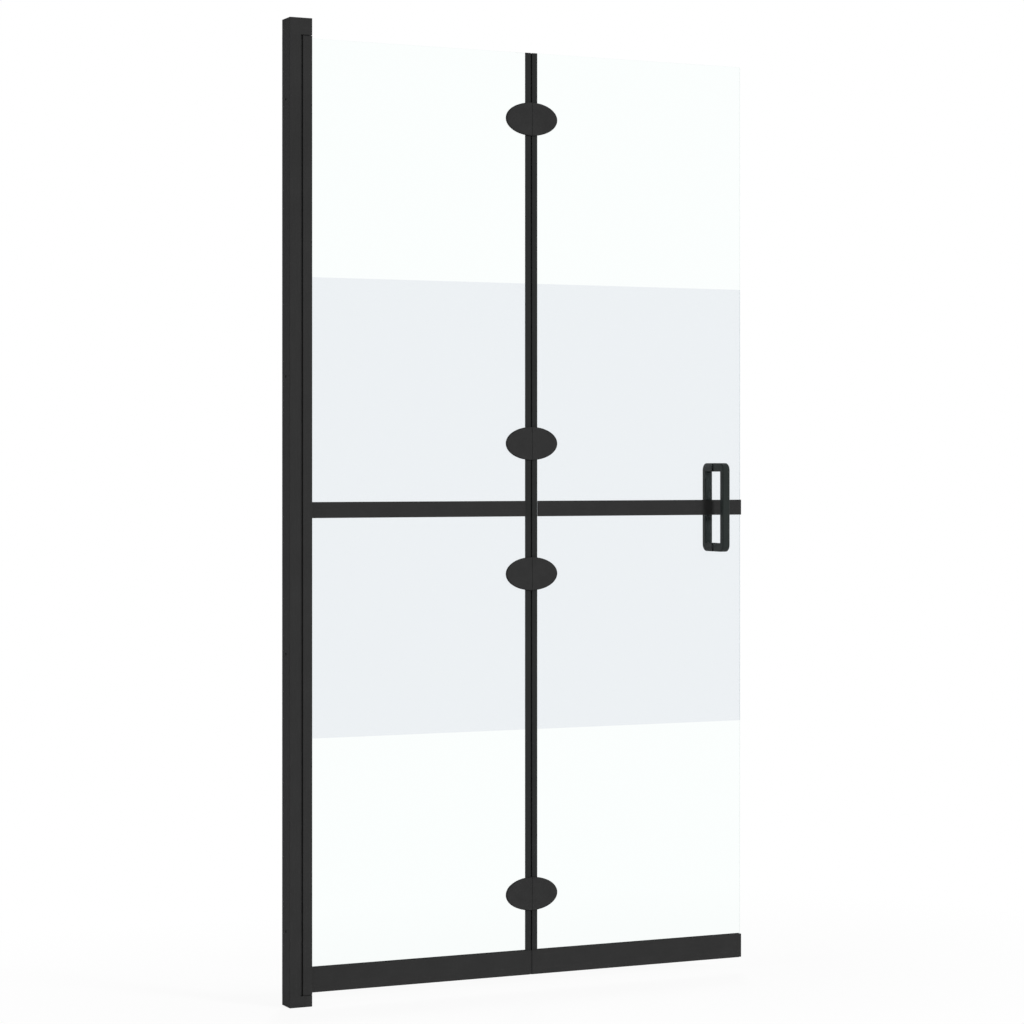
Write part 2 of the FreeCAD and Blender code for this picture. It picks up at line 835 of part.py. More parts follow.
def hinge_pin():
    """Pin through the three knuckles, with a flat head at each end."""
    low, high = vec(0, fold_axis_depth, -pin_reach()), vec(0, fold_axis_depth, pin_reach())
    pin = rod(hinge_pin_radius, low, high)
    for end, way in ((high, 1), (low, -1)):
        head = rod(hinge_pin_head_radius, end, end + up * way * hinge_pin_head)
        rim = max(head.Edges, key=lambda edge: way * edge.CenterOfMass.z)
        pin = pin.fuse(head.makeFillet(hinge_pin_head / 2, [rim]))
    return one_solid(pin)


def hinge_bushes():
    """Plain bushes in the end knuckles, which turn on the pins."""
    bushes = []
    for low, high in knuckle_spans(outer_side):
        start, end = vec(0, fold_axis_depth, low), vec(0, fold_axis_depth, high)
        ring = tube(hinge_bush_radius, hinge_pin_radius + running_clearance, start, end)
        bushes.extend(place_hinges(ring))
    return group(bushes)


def handle_shape(facing):
    """D handle: a rounded rectangle of bar with square inner corners, open to the glass."""
    base = half_glass + handle_washer
    tip = half_glass + handle_reach
    top, bottom = bar_z + handle_length / 2, bar_z - handle_length / 2
    sides = (handle_x - handle_width / 2, handle_x + handle_width / 2)
    shape = block(sides, (facing * base, facing * tip), (bottom, top))
    shape = shape.makeFillet(handle_corner, edges_at(shape, along, "y", facing * tip))
    inside = block(
        (sides[0] - overrun, sides[1] + overrun),
        (facing * (base - overrun), facing * (tip - handle_grip)),
        (bottom + handle_leg, top - handle_leg),
    )
    shape = shape.cut(inside)
    side_edges = [
        edge
        for edge in shape.Edges
        if abs(abs(edge.CenterOfMass.x - handle_x) - handle_width / 2) < tolerance
        and abs(edge.CenterOfMass.y - facing * base) > tolerance
    ]
    shape = shape.makeFillet(handle_edge, side_edges)
    for x, z in handle_places():
        start = vec(x, facing * base, z)
        end = start + back * facing * handle_stud_bite
        shape = shape.cut(rod(handle_stud_radius + seat_clearance, start, end))
    return one_solid(shape)


def handle_studs():
    """Threaded studs through the glass that join the two handles."""
    reach = half_glass + handle_washer + handle_stud_bite
    return group([rod(handle_stud_radius, vec(x, -reach, z), vec(x, reach, z)) for x, z in handle_places()])


def handle_washers():
    """Soft washers on both faces of the glass, each pair joined by a sleeve in the hole."""
    inner = handle_stud_radius + hole_clearance
    reach = half_glass + handle_washer
    washers = []
    for x, z in handle_places():
        sleeve = rod(inner + sleeve_wall, vec(x, -half_glass, z), vec(x, half_glass, z))
        front = rod(handle_washer_radius, vec(x, -reach, z), vec(x, -half_glass, z))
        rear = rod(handle_washer_radius, vec(x, half_glass, z), vec(x, reach, z))
        bore = rod(inner, vec(x, -reach, z), vec(x, reach, z))
        washers.append(front.fuse([sleeve, rear]).cut(bore))
    return group(washers)


def screen_parts():
    """Every piece of the screen by name."""
    parts = {
        "wall_channel": wall_channel(),
        "post_profile": post_profile(),
        "top_bearing_block": bearing_block(screen_height, post_top_z),
        "bottom_bearing_block": bearing_block(0, post_bottom_z),
        "block_screws": block_screws(),
        "lock_screws": lock_screws(),
        "upper_pivot_bush": pivot_bush(post_top_z, 1),
        "lower_pivot_bush": pivot_bush(post_bottom_z, -1),
        "upper_pivot_pin": pivot_pin(pivot_top_z, 1),
        "lower_pivot_pin": pivot_pin(pivot_bottom_z, -1),
        "pivot_profile": pivot_profile(),
        "upper_end_plug": end_plug(pivot_top_z, 1),
        "lower_end_plug": end_plug(pivot_bottom_z, -1),
        "glazing_gasket": glazing_gasket(),
        "inner_glass": inner_glass(),
        "outer_glass": outer_glass(),
        "fold_seal": fold_seal(),
        "hinge_pins": group(place_hinges(hinge_pin())),
        "hinge_bushes": hinge_bushes(),
        "front_handle": handle_shape(-1),
        "back_handle": handle_shape(1),
        "handle_studs": handle_studs(),
        "handle_washers": handle_washers(),
    }
    for side, pane in ((inner_side, "inner"), (outer_side, "outer")):
        parts[f"{pane}_fold_strip"] = fold_strip(side)
        parts[f"{pane}_bar"] = pane_bar(side)
        parts[f"{pane}_bar_tape"] = bar_tape(side)
        parts[f"{pane}_rail"] = bottom_rail(side)
        parts[f"{pane}_rail_gasket"] = rail_gasket_strip(side)
        parts[f"{pane}_rail_seal"] = rail_seal(side)
        parts[f"{pane}_rail_caps"] = rail_caps(side)
        parts[f"{pane}_hinge_screws"] = hinge_screws(side)
        parts[f"{pane}_hinge_sleeves"] = hinge_sleeves(side)
        parts[f"{pane}_hinge_pads"] = hinge_pads(side)
        for number, plate in enumerate(place_hinges(front_plate(side)), start=1):
            parts[f"hinge_{number}_{pane}_plate"] = plate
        for number, leaf in enumerate(place_hinges(back_leaf(side)), start=1):
            parts[f"hinge_{number}_{pane}_leaf"] = leaf
    return parts


def main():
    os.makedirs("parts", exist_ok=True)
    for name, shape in screen_parts().items():
        shape.exportStep(os.path.join("parts", f"{name}.step"))


main()
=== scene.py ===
"""Looks of a folding shower screen: the finish of every piece, its soft trim and a pale studio."""

import json
import math

import bmesh
import bpy
from bpy.props import FloatProperty, FloatVectorProperty, IntProperty, PointerProperty
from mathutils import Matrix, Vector


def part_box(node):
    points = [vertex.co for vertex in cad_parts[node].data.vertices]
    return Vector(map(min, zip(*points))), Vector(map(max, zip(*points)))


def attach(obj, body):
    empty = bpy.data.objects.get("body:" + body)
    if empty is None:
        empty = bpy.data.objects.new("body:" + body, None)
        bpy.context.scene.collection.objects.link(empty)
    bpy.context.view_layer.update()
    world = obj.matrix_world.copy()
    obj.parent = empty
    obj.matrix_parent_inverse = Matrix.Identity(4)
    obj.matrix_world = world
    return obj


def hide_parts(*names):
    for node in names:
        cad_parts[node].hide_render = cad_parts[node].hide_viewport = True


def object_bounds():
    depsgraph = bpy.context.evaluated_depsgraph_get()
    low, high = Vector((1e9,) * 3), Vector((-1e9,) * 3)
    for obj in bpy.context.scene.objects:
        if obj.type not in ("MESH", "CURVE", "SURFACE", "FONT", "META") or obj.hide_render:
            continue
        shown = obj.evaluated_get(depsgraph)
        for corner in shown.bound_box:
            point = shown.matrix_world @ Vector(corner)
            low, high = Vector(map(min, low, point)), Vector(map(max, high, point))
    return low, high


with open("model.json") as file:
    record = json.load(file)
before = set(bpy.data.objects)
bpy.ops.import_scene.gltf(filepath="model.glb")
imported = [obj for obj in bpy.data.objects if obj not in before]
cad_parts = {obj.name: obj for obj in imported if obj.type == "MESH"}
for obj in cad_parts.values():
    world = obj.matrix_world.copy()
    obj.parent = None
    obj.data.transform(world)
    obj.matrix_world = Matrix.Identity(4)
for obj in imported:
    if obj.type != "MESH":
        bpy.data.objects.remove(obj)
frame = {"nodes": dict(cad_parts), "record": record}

bl_info = {
    "name": "Folding shower screen",
    "version": (1, 0, 0),
    "blender": (4, 5, 0),
    "location": "3D View > Sidebar > Shower screen",
    "description": "Finishes a folding shower screen and sets it in a pale studio",
    "category": "Object",
}

CAD_BOX = [list(corner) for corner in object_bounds()]
SLOT_OF = {row["node"]: row["material_slot"] for row in frame["record"]["subparts"]}
BODY_OF = {
    node: body
    for body, nodes in frame["record"]["behaviour"]["bodies"].items()
    for node in nodes
}
PANES = ("inner", "outer")
HINGES = (1, 2, 3, 4)
WHITE = (1.0, 1.0, 1.0)

# Both panes lie in one plane, so the faces of one serve for both.
GLASS_LOW, GLASS_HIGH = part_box("outer_glass")

# Points of a soft piece that lie nearer together than this, in metres, become one.
WELD = 1e-6
# Steps round the corner of an outline, and round the rim of a pad or tape.
CORNER_STEPS = 6
RIM_STEPS = 2
# Scale of the grain along each axis: drawn metal by the way it runs, and steel from the lathe.
DRAWN_SCALE = {"X": (0.02, 1, 1), "Z": (1, 1, 0.02)}
TURNED_SCALE = (1, 0.08, 0.08)
# How far the shades of black plastic and of bushes spread about their colour.
MOULDING_SPREAD = 0.2
ACETAL_SPREAD = 0.05
# Faces of a pane that turn less than this to the front or back are its edge.
EDGE_TURN = 0.5
# Places of the colours among a Mix node's sockets.
MIX_FIRST = 6
MIX_SECOND = 7
MIX_RESULT = 2


# Settings


def colour(label, text, default):
    """Colour in linear light."""
    return FloatVectorProperty(
        name=label, description=text, subtype="COLOR", size=3, min=0, max=1, default=default
    )


def length(label, text, default):
    return FloatProperty(name=label, description=text, unit="LENGTH", precision=6, default=default)


def share(label, text, default):
    return FloatProperty(name=label, description=text, subtype="FACTOR", min=0, max=1, default=default)


def strength(label, text, default):
    return FloatProperty(name=label, description=text, min=0, default=default)


def angle(label, text, degrees):
    return FloatProperty(name=label, description=text, subtype="ANGLE", default=math.radians(degrees))


def way(label, text, default):
    return FloatVectorProperty(name=label, description=text, subtype="DIRECTION", size=3, default=default)


class ShowerCoats(bpy.types.PropertyGroup):
    """Colours of metal, plastic and rubber."""

    black: colour("Black coat", "Powder coat of profiles and bars", (0.032, 0.032, 0.032))
    cast: colour("Cast coat", "Coat of hinges and bearing blocks", (0.032, 0.032, 0.032))
    satin: colour("Satin coat", "Coat of the handles", (0.0242, 0.0292, 0.0277))
    strip: colour("Strip", "Strips on the glass edges at the fold", (0.0252, 0.0263, 0.0260))
    moulding: colour("Moulding", "Black moulded plastic", (0.0200, 0.0200, 0.0204))
    anodised: colour("Anodised", "Channel on the wall", (0.03, 0.03, 0.031))
    acetal: colour("Acetal", "Bushes and sleeves", (0.70, 0.69, 0.65))
    steel: colour("Steel", "Screws, pins and studs", (0.42, 0.42, 0.41))
    rubber: colour("Rubber", "Gaskets, seals and pads", (0.012, 0.012, 0.0124))
    # The washers' colour is partly their grey rubber and partly painted light: it is made lighter to lift the
    # shade in the crevice where the handles meet the glass.
    washer: colour("Washer", "Greyer rubber of the washers under the handles", (0.042, 0.048, 0.046))
    foam: colour("Foam", "Mounting tape behind the bars", (0.026, 0.026, 0.027))


class ShowerGrain(bpy.types.PropertyGroup):
    """Widths and depths of the grain in metal, plastic and rubber."""

    coat_cloud: length("Coat clouds", "Width of the faint clouds in the powder coat", 0.05)
    peel: length("Orange peel", "Width of the ripples in the powder coat", 0.0011)
    peel_depth: length("Peel depth", "Depth of those ripples", 0.00004)
    speck: length("Specks", "Width of the specks in the powder coat", 0.000275)
    drawn: length("Drawn lines", "Spacing of the faint lines along an extrusion", 0.0016)
    cast_cloud: length("Cast clouds", "Width of the faint clouds on hinges and blocks", 0.018)
    sand: length("Sand", "Width of the grain on hinges and blocks", 0.00077)
    sand_depth: length("Sand depth", "Depth of that grain", 0.000056)
    satin_cloud: length("Satin clouds", "Width of the faint clouds on the handles", 0.03)
    satin: length("Satin grain", "Width of the fine grain on the handles", 0.0006)
    satin_depth: length("Satin depth", "Depth of that grain", 0.000012)
    plastic_cloud: length("Plastic clouds", "Width of the faint clouds in plastic", 0.012)
    moulding: length("Moulding grain", "Width of the grain on black plastic", 0.0009)
    acetal: length("Acetal grain", "Width of the grain on bushes and sleeves", 0.0012)
    plastic_depth: length("Plastic depth", "Depth of the grain on plastic", 0.00003)
    turned: length("Turned lines", "Spacing of the lines on steel", 0.0009)
    turned_depth: length("Turned depth", "Depth of those lines", 0.00001)
    steel_cloud: length("Steel clouds", "Width of the faint clouds on steel", 0.006)
    bloom: length("Bloom", "Width of the pale bloom on rubber and foam", 0.009)
    rubber: length("Rubber grain", "Width of the grain on rubber", 0.0007)
    rubber_depth: length("Rubber depth", "Depth of that grain", 0.00002)
    foam: length("Foam pores", "Width of the pores in the tape", 0.0004)
    foam_depth: length("Pore depth", "Depth of those pores", 0.00004)


class ShowerGloss(bpy.types.PropertyGroup):
    """Least roughness of each finish, and the strength of its reflection."""

    coat: share("Coat roughness", "Roughness of the powder coat", 0.66)
    strip: share("Strip roughness", "Roughness of the strips at the fold", 0.63)
    channel: share("Channel roughness", "Roughness of the channel on the wall", 0.56)
    cast: share("Cast roughness", "Roughness of hinges and blocks", 0.64)
    coat_sheen: share("Coat sheen", "Reflection of powder coat and castings", 0.03)
    satin: share("Satin roughness", "Roughness of the handles", 0.32)
    satin_sheen: share("Satin sheen", "Reflection of the handles", 0.06)
    plastic: share("Plastic roughness", "Roughness of plastic", 0.48)
    moulding_sheen: share("Moulding sheen", "Reflection of black plastic", 0.12)
    acetal_sheen: share("Acetal sheen", "Reflection of bushes and sleeves", 0.5)
    steel: share("Steel roughness", "Roughness of steel", 0.24)
    rubber: share("Rubber roughness", "Roughness of rubber and foam", 0.62)
    rubber_sheen: share("Rubber sheen", "Reflection of rubber and foam", 0.15)


class ShowerGlass(bpy.types.PropertyGroup):
    """Panes and their etched band."""

    clear: colour("Clear glass", "What one face of the clear glass lets through", (0.984, 0.998, 0.994))
    etched: colour("Etched glass", "What the etched face lets through", (0.862, 0.883, 0.911))
    scatter: colour("Scatter", "Colour of the light that the etched face scatters", (0.9, 0.92, 0.93))
    rim: colour("Rim", "Ground edge of the panes", (0.62, 0.80, 0.75))
    veil: share("Veil", "Light that the etched face scatters", 0.021)
    gleam: share("Gleam", "How much of its mirror image the coated glass keeps", 0.14)
    rim_share: share("Rim share", "How much the ground edge hides", 0.12)
    bend: FloatProperty(name="Bend", description="Refractive index of the glass", min=1, default=1.5)
    smooth: share("Smooth roughness", "Roughness of the clear faces", 0.015)
    haze: share("Haze roughness", "Roughness of the etched face", 0.42)
    scatter_rough: share("Scatter roughness", "Roughness of the etched grain", 0.6)
    scatter_sheen: share("Scatter sheen", "Reflection of the etched grain", 0.2)
    rim_rough: share("Rim roughness", "Roughness of the ground edge", 0.2)
    rim_sheen: share("Rim sheen", "Reflection of the ground edge", 0.5)
    band_height: length("Band height", "Height of the etched band", 0.891)
    band_middle: length("Band middle", "Height of the band's middle above the floor", 0.9585)
    band_edge: length("Band edge", "Width over which the etching fades", 0.0008)
    grit: length("Grit", "Width of the etched grain", 0.0005)
    grit_depth: length("Grit depth", "Depth of that grain", 0.00003)


class ShowerTrim(bpy.types.PropertyGroup):
    """Soft trim."""

    lip: length("Lip", "Rounding of the gaskets' outer lips", 0.0014)
    nip: length("Nip", "Rounding of the gaskets where they grip the glass", 0.0004)
    seal_neck: length("Seal neck", "Thickness of the drip seals under the rails", 0.0026)
    slot_floor: length("Slot floor", "Metal under the drip seals' heads", 0.002)
    bulb_wall: length("Bulb wall", "Wall of the hollow seal at the fold", 0.0006)
    pad_edge: length("Pad edge", "Rounding of pads and tapes", 0.0002)
    pad_hole: length("Pad hole", "Radius of the screw holes in the pads", 0.0026)
    washer_bore: length("Washer bore", "Radius of the washers' bore", 0.0031)
    sleeve_wall: length("Sleeve wall", "Wall of the sleeve between a pair of washers", 0.0022)
    washer_edge: length("Washer edge", "Rounding of the washers' rims", 0.0004)
    tape_corner: length("Tape corner", "Rounding of the mounting tapes' corners", 0.003)
    crease: angle("Crease", "Edges bent more than this look sharp", 35)
    round_steps: IntProperty(name="Round steps", description="Faces round a full turn", min=12, default=64)


class ShowerStage(bpy.types.PropertyGroup):
    """Studio and camera."""

    floor: colour("Floor", "Colour of the floor", (0.94, 0.94, 0.94))
    floor_reach: length("Floor reach", "Half the width of the floor", 20.0)
    glow: share("Glow", "Share of the floor near the screen that looks white at any light", 0.92)
    fade_start: length("Fade start", "Distance from the screen where the floor starts to turn white", 0.1)
    fade_end: length("Fade end", "Distance from the screen where the floor is plain white", 1.1)
    room: strength("Room", "Strength of the room's even light", 0.15)
    key: strength("Key", "Strength of the lamp in front of the screen", 2.6)
    key_from: way("Key from", "Way to the lamp in front of the screen", (0.72, -1.0, 0.42))
    fill: strength("Fill", "Strength of the lamp behind the screen", 2.2)
    fill_from: way("Fill from", "Way to the lamp behind the screen", (0.5, 1.0, 0.4))
    side: strength("Side", "Strength of the lamp beside the post", 0.85)
    side_from: way("Side from", "Way to the lamp beside the post", (-1.0, -0.1, 0.25))
    lamp_width: angle("Lamp width", "How wide the lamps look from the screen", 14)
    aim_share: share("Aim", "Place along the screen at the middle of the picture", 0.47991)
    eye_height: length("Eye height", "Height of the camera", 1.03903)
    distance: length("Distance", "From the camera to the screen", 5.7185)
    turn: angle("Turn", "Camera's turn to the side", 25.088)
    lens: FloatProperty(name="Lens", description="Focal length in millimetres", unit="CAMERA", default=100.88)
    rise: FloatProperty(name="Rise", description="Upright shift of the lens", default=-0.04482)


# Shader sums


class Wire:
    """A socket's value, which Python sums turn into Math nodes."""

    def __init__(self, finish, socket):
        self.finish = finish
        self.socket = socket

    def result(self, operation, left, right=0.0):
        """Math node on one or two values."""
        return self.finish.node("ShaderNodeMath", {"operation": operation}, {0: left, 1: right})

    def __add__(self, other):
        return self.result("ADD", self, other)

    __radd__ = __add__

    def __mul__(self, other):
        return self.result("MULTIPLY", self, other)

    __rmul__ = __mul__

    def __sub__(self, other):
        return self.result("SUBTRACT", self, other)

    def __rsub__(self, other):
        return self.result("SUBTRACT", other, self)

    def __truediv__(self, other):
        return self.result("DIVIDE", self, other)

    def __rtruediv__(self, other):
        return self.result("DIVIDE", other, self)

    def __gt__(self, other):
        return self.result("GREATER_THAN", self, other)

    def __lt__(self, other):
        return self.result("LESS_THAN", self, other)

    def __abs__(self):
        return self.result("ABSOLUTE", self)

    def root(self):
        return self.result("SQRT", self)

    def held(self):
        """The value kept between 0 and 1."""
        return self.finish.node("ShaderNodeClamp", {}, {"Value": self})


class Finish:
    """Node tree of a material or a world."""

    def __init__(self, owner):
        owner.use_nodes = True
        self.owner = owner
        self.tree = owner.node_tree
        self.tree.nodes.clear()

    def node(self, kind, settings, inputs, output=0):
        """Adds a node: its settings first, then the values or links of its sockets."""
        made = self.tree.nodes.new(kind)
        for name, value in settings.items():
            setattr(made, name, value)
        for name, value in inputs.items():
            if isinstance(value, Wire):
                self.tree.links.new(value.socket, made.inputs[name])
            else:
                made.inputs[name].default_value = value
        return Wire(self, made.outputs[output]) if made.outputs else None

    def close(self, surface):
        """Links the surface to the output and gives the finished material or world."""
        world = isinstance(self.owner, bpy.types.World)
        self.node("ShaderNodeOutputWorld" if world else "ShaderNodeOutputMaterial", {}, {"Surface": surface})
        return self.owner

    def blend(self, factor, first, second):
        """Colour between two colours."""
        inputs = {0: factor, MIX_FIRST: opaque(first), MIX_SECOND: opaque(second)}
        return self.node("ShaderNodeMix", {"data_type": "RGBA"}, inputs, MIX_RESULT)

    def mottled(self, tone, base, dark, light):
        """Colour that goes from a darker to a lighter shade of its base with the tone."""
        return self.blend(tone, shade(base, dark), shade(base, light))

    def layer(self, factor, first, second):
        """Shader between two shaders."""
        return self.node("ShaderNodeMixShader", {}, {0: factor, 1: first, 2: second})

    def place(self, output="Object"):
        """Place on the object in metres, or the way that its surface faces."""
        return self.node("ShaderNodeTexCoord", {}, {}, output)

    def part(self, vector, axis):
        """One coordinate of a vector."""
        return self.node("ShaderNodeSeparateXYZ", {}, {"Vector": vector}, axis)

    def stretched(self, scale):
        """Object coordinates with each axis scaled."""
        inputs = {0: self.place(), 1: scale}
        return self.node("ShaderNodeVectorMath", {"operation": "MULTIPLY"}, inputs)

    def noise(self, width, vector=None, detail=2.0, roughness=0.5):
        """Noise with grains of a width in metres."""
        inputs = {
            "Vector": vector or self.place(),
            "Scale": 1 / width,
            "Detail": detail,
            "Roughness": roughness,
        }
        return self.node("ShaderNodeTexNoise", {}, inputs)

    def bump(self, height, depth, amount):
        """Surface raised by a height of 0 to 1 times a depth in metres."""
        inputs = {"Height": height, "Distance": depth, "Strength": amount}
        return self.node("ShaderNodeBump", {}, inputs)

    def principled(self, **inputs):
        """Shader whose sockets are named with underscores for spaces."""
        named = {name.replace("_", " "): value for name, value in inputs.items()}
        return self.node("ShaderNodeBsdfPrincipled", {}, named)


def opaque(value):
    """Colour with its alpha, or a wire as it is."""
    return value if isinstance(value, Wire) else (*value, 1.0)


def shade(value, factor):
    """Colour made darker or lighter."""
    return tuple(min(1.0, part * factor) for part in value)


def new_finish(name):
    return Finish(bpy.data.materials.new(name))


# Finishes


def powder_coat(name, base, roughness, run, scene):
    """Matt coat with orange peel over the faint lines of metal drawn along an axis."""
    grain = scene.shower_grain
    made = new_finish(name)
    cloud = made.noise(grain.coat_cloud, detail=4.0)
    ripple = made.noise(grain.peel, detail=1.0)
    speck = made.noise(grain.speck, detail=1.0)
    lines = made.noise(grain.drawn, made.stretched(DRAWN_SCALE[run]), detail=3.0)
    # Each noise is a half on average, and so is the tone.
    tone = 0.4 * cloud + 1.4 * speck + 0.6 * ripple + 0.4 * lines - 0.9
    height = ripple + 0.35 * speck + 0.6 * lines
    surface = made.principled(
        Base_Color=made.mottled(tone, base, dark=0.7, light=1.3),
        Roughness=roughness + 0.1 * cloud + 0.08 * speck + 0.06 * lines,
        Specular_IOR_Level=scene.shower_gloss.coat_sheen,
        Normal=made.bump(height, grain.peel_depth, amount=0.8),
    )
    return made.close(surface)


def cast_coat(name, base, scene):
    """Coat over a casting, a little coarser and without drawn lines."""
    grain, gloss = scene.shower_grain, scene.shower_gloss
    made = new_finish(name)
    cloud = made.noise(grain.cast_cloud, detail=3.0)
    sand = made.noise(grain.sand, detail=3.0, roughness=0.65)
    tone = 0.5 * cloud + 1.5 * sand - 0.5
    surface = made.principled(
        Base_Color=made.mottled(tone, base, dark=0.7, light=1.3),
        Roughness=gloss.cast + 0.14 * sand,
        Specular_IOR_Level=gloss.coat_sheen,
        Normal=made.bump(sand, grain.sand_depth, amount=0.8),
    )
    return made.close(surface)


def satin_coat(name, base, scene):
    """Smooth satin coat of pieces that hands hold."""
    grain, gloss = scene.shower_grain, scene.shower_gloss
    made = new_finish(name)
    cloud = made.noise(grain.satin_cloud, detail=3.0)
    fine = made.noise(grain.satin)
    surface = made.principled(
        Base_Color=made.mottled(cloud, base, dark=0.88, light=1.14),
        Roughness=gloss.satin + 0.1 * cloud + 0.05 * fine,
        Specular_IOR_Level=gloss.satin_sheen,
        Normal=made.bump(fine, grain.satin_depth, amount=0.5),
    )
    return made.close(surface)


def moulded_plastic(name, base, grit_width, spread, sheen, scene):
    """Moulded plastic with an eroded grain."""
    grain = scene.shower_grain
    made = new_finish(name)
    grit = made.noise(grit_width, detail=3.0, roughness=0.7)
    cloud = made.noise(grain.plastic_cloud)
    tone = 0.5 * grit + 0.5 * cloud
    surface = made.principled(
        Base_Color=made.mottled(tone, base, dark=1 - spread, light=1 + spread),
        Roughness=scene.shower_gloss.plastic + 0.16 * grit,
        Specular_IOR_Level=sheen,
        Normal=made.bump(grit, grain.plastic_depth, amount=0.5),
    )
    return made.close(surface)


def bright_steel(name, base, scene):
    """Stainless steel with fine turned lines."""
    grain = scene.shower_grain
    made = new_finish(name)
    turned = made.noise(grain.turned, made.stretched(TURNED_SCALE), detail=3.0)
    cloud = made.noise(grain.steel_cloud)
    tone = 0.6 * turned + 0.4 * cloud
    surface = made.principled(
        Base_Color=made.mottled(tone, base, dark=0.86, light=1.1),
        Metallic=1.0,
        Roughness=scene.shower_gloss.steel + 0.16 * turned,
        Normal=made.bump(turned, grain.turned_depth, amount=0.4),
    )
    return made.close(surface)


def matt_rubber(name, base, skin_width, skin_depth, scene):
    """Soft rubber or foam with a faint pale bloom."""
    gloss = scene.shower_gloss
    made = new_finish(name)
    bloom = made.noise(scene.shower_grain.bloom, detail=4.0, roughness=0.6)
    skin = made.noise(skin_width)
    surface = made.principled(
        Base_Color=made.mottled(bloom, base, dark=0.8, light=1.4),
        Roughness=gloss.rubber + 0.14 * bloom,
        Specular_IOR_Level=gloss.rubber_sheen,
        Normal=made.bump(skin, skin_depth, amount=0.5),
    )
    return made.close(surface)


def seal_rubber(scene):
    """Black rubber of gaskets, seals and pads, made once."""
    name = "black_rubber"
    grain = scene.shower_grain
    ready = bpy.data.materials.get(name)
    return ready or matt_rubber(name, scene.shower_coats.rubber, grain.rubber, grain.rubber_depth, scene)


def etched_glass(name, glass):
    """Clear pane with a band etched into its front face and a ground edge."""
    made = new_finish(name)
    height = made.part(made.place(), "Z")
    depth = made.part(made.place(), "Y")
    facing = made.part(made.place("Normal"), "Y")
    low = glass.band_middle - glass.band_height / 2
    high = glass.band_middle + glass.band_height / 2
    band = ((height - low) / glass.band_edge).held() * ((high - height) / glass.band_edge).held()
    etch = band * (depth < 0.0)
    edge = abs(facing) < EDGE_TURN
    grit = made.noise(glass.grit)
    gleam = glass.gleam * made.node("ShaderNodeFresnel", {}, {"IOR": glass.bend})
    smooth = made.node("ShaderNodeBsdfTransparent", {}, {"Color": opaque(glass.clear)})
    shiny = {"Color": opaque(WHITE), "Roughness": glass.smooth}
    mirror = made.node("ShaderNodeBsdfGlossy", {}, shiny)
    misty = made.node("ShaderNodeBsdfTransparent", {}, {"Color": opaque(glass.etched)})
    bumpy = made.bump(grit, glass.grit_depth, amount=0.5)
    hazy = {"Color": opaque(WHITE), "Roughness": glass.haze, "Normal": bumpy}
    haze = made.node("ShaderNodeBsdfGlossy", {}, hazy)
    scatter = made.principled(
        Base_Color=opaque(glass.scatter),
        Roughness=glass.scatter_rough,
        Specular_IOR_Level=glass.scatter_sheen,
    )
    frosted = made.layer(gleam, misty, haze)
    frosted = made.layer(glass.veil * (0.6 + 0.8 * grit), frosted, scatter)
    faces = made.layer(etch, made.layer(gleam, smooth, mirror), frosted)
    rim = made.principled(
        Base_Color=opaque(glass.rim),
        Roughness=glass.rim_rough,
        Specular_IOR_Level=glass.rim_sheen,
    )
    return made.close(made.layer(glass.rim_share * edge, faces, rim))


# Dressing and making pieces


def nodes_in(*slots):
    """CAD nodes with one of these material slots."""
    return [node for node, slot in SLOT_OF.items() if slot in slots]


def dress(nodes, finish):
    """Gives CAD nodes a finish."""
    for node in nodes:
        piece = frame["nodes"][node]
        if not piece.material_slots:
            piece.data.materials.append(finish)
        for slot in piece.material_slots:
            slot.material = finish


def middle(node):
    """Middle of a CAD node's box."""
    low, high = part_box(node)
    return (low + high) / 2


def runs_along(node):
    """The longer of a piece's two directions in the plane of the screen."""
    low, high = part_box(node)
    return "X" if high.x - low.x > high.z - low.z else "Z"


def soft_outline(corners):
    """Closed outline from corners, each given with how far its rounding reaches."""
    points = []
    for index, (corner_x, corner_y, reach) in enumerate(corners):
        corner = Vector((corner_x, corner_y))
        before = Vector(corners[index - 1][:2])
        after = Vector(corners[(index + 1) % len(corners)][:2])
        start = corner + (before - corner).normalized() * reach
        end = corner + (after - corner).normalized() * reach
        for step in range(CORNER_STEPS + 1):
            along = step / CORNER_STEPS
            points.append(start.lerp(corner, along).lerp(corner.lerp(end, along), along))
    return points


def ring(centre, radius, steps):
    """Points round a circle."""
    turns = [2 * math.pi * step / steps for step in range(steps)]
    return [centre + radius * Vector((math.cos(turn), math.sin(turn))) for turn in turns]


def prism(loops, axis, start, end, edge=0.0):
    """Mesh of outlines run along an axis; loops inside others are holes, and the end rims may be rounded."""
    curve = bpy.data.curves.new("outline", "CURVE")
    curve.dimensions = "2D"
    curve.fill_mode = "BOTH"
    curve.extrude = (end - start) / 2 - edge
    curve.bevel_depth = edge
    curve.bevel_resolution = RIM_STEPS
    curve.offset = -edge
    for loop in loops:
        spline = curve.splines.new("POLY")
        spline.points.add(len(loop) - 1)
        for point, place in zip(spline.points, loop):
            point.co = (place.x, place.y, 0, 1)
        spline.use_cyclic_u = True
    holder = bpy.data.objects.new("outline", curve)
    data = bpy.data.meshes.new_from_object(holder)
    bpy.data.objects.remove(holder)
    bpy.data.curves.remove(curve)
    halfway = (start + end) / 2
    mesh = bmesh.new()
    mesh.from_mesh(data)
    bpy.data.meshes.remove(data)
    for vert in mesh.verts:
        across, rise, along = vert.co
        along += halfway
        vert.co = {"X": (along, across, rise), "Y": (across, along, rise), "Z": (across, rise, along)}[axis]
    return mesh


